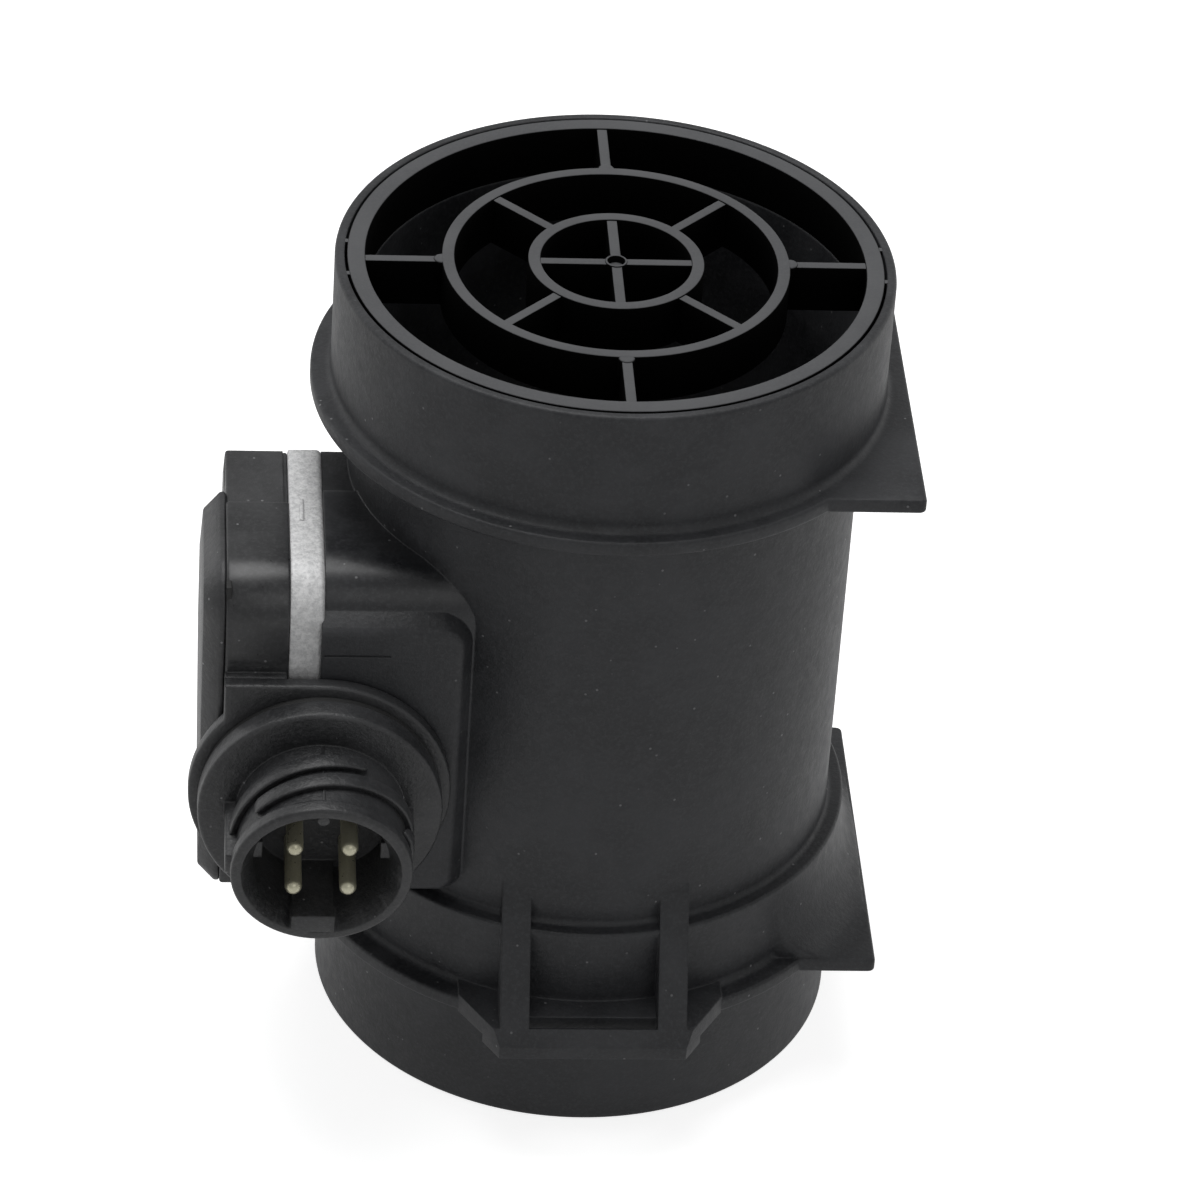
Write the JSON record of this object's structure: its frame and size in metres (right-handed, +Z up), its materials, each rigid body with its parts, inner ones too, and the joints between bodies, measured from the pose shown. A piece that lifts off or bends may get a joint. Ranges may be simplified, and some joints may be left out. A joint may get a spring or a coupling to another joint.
{
  "type": "mass airflow sensor",
  "caption": "Black moulded mass airflow sensor: round flanged duct with a gridded inlet, side electronics module on a cast alloy plate, and a bayonet plug socket.",
  "frame": {"origin": "centre of the outlet spigot's end face, which the part stands on", "axes": "+Z up the bore towards the gridded inlet, -X towards the electronics module, -Y where the plug socket points"},
  "size_m": [0.1092, 0.1091, 0.1348],
  "materials": {
    "duct_plastic": "fine-grained satin black moulding",
    "grid_plastic": "smooth black moulding",
    "module_plastic": "satin black moulding",
    "cast_alloy": "blasted cast alloy",
    "pin_metal": "nickel-plated brass",
    "mesh_steel": "drawn wire",
    "screw_steel": "zinc-plated steel",
    "seal_rubber": "soft black seal",
    "ceramic": "fired ceramic",
    "board_ceramic": "coated circuit board",
    "component_black": "moulded component",
    "gel": "clear soft gel"
  },
  "bodies": {
    "root": {"duct_body": "duct_plastic", "front_clip_loop": "duct_plastic", "back_clip_loop": "duct_plastic", "inlet_grid": "grid_plastic", "mesh_ring": "grid_plastic", "outlet_mesh": "mesh_steel", "sensing_carrier": "module_plastic", "hot_film_element": "ceramic", "air_temperature_element": "ceramic", "carrier_seal": "seal_rubber", "plate_gasket": "seal_rubber", "heat_sink_plate": "cast_alloy", "module_housing": "module_plastic", "module_lid": "module_plastic", "lid_seal": "seal_rubber", "connector_seal": "seal_rubber", "circuit_board": "board_ceramic", "hybrid_chip": "component_black", "lead_frame": "pin_metal", "potting_gel": "gel", "module_screw_1": "screw_steel", "module_screw_2": "screw_steel", "contact_pin_1": "pin_metal", "capacitor_1": "component_black", "contact_pin_2": "pin_metal", "capacitor_2": "component_black", "contact_pin_3": "pin_metal", "capacitor_3": "component_black", "contact_pin_4": "pin_metal", "capacitor_4": "component_black"}
  },
  "joints": []
}
